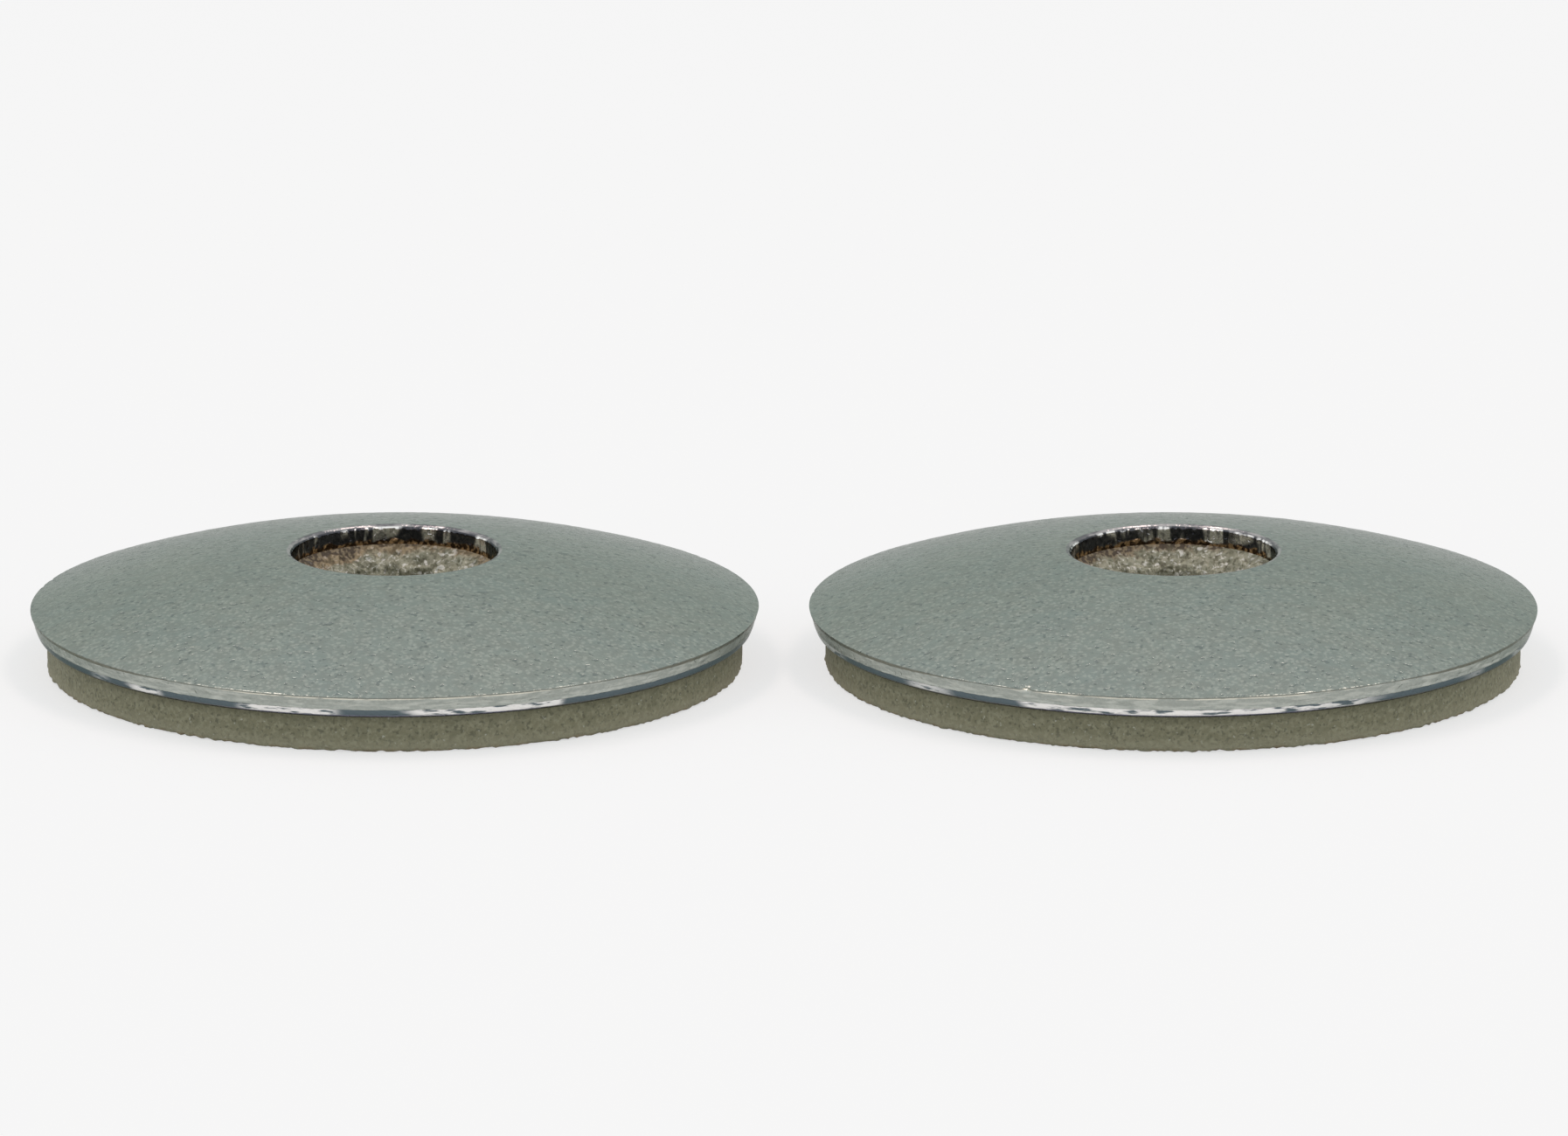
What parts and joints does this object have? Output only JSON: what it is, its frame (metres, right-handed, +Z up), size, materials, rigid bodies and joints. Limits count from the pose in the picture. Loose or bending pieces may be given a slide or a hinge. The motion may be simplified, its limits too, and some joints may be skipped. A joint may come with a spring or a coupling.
{
  "type": "pair of bonded sealing washers",
  "caption": "Domed zinc-plated steel washers with a bonded rubber sealing pad and a narrow rubber bore that grips a roofing screw, lying flat side by side.",
  "frame": {"origin": "on the surface that the washers lie on, midway between them, at the centre of the pair's box", "axes": "+X from the left washer to the right one, +Z up out of the domes, along each washer's axis"},
  "size_m": [0.0454, 0.022, 0.0036],
  "materials": {
    "zinc_plated_steel": "matt zinc with a fine sparkle, glossy along the cut edges",
    "sealing_rubber": "matt olive grey, torn and rough in the bore"
  },
  "bodies": {
    "root": {"left_steel_disc": "zinc_plated_steel", "left_rubber_pad": "sealing_rubber", "right_steel_disc": "zinc_plated_steel", "right_rubber_pad": "sealing_rubber"}
  },
  "joints": []
}
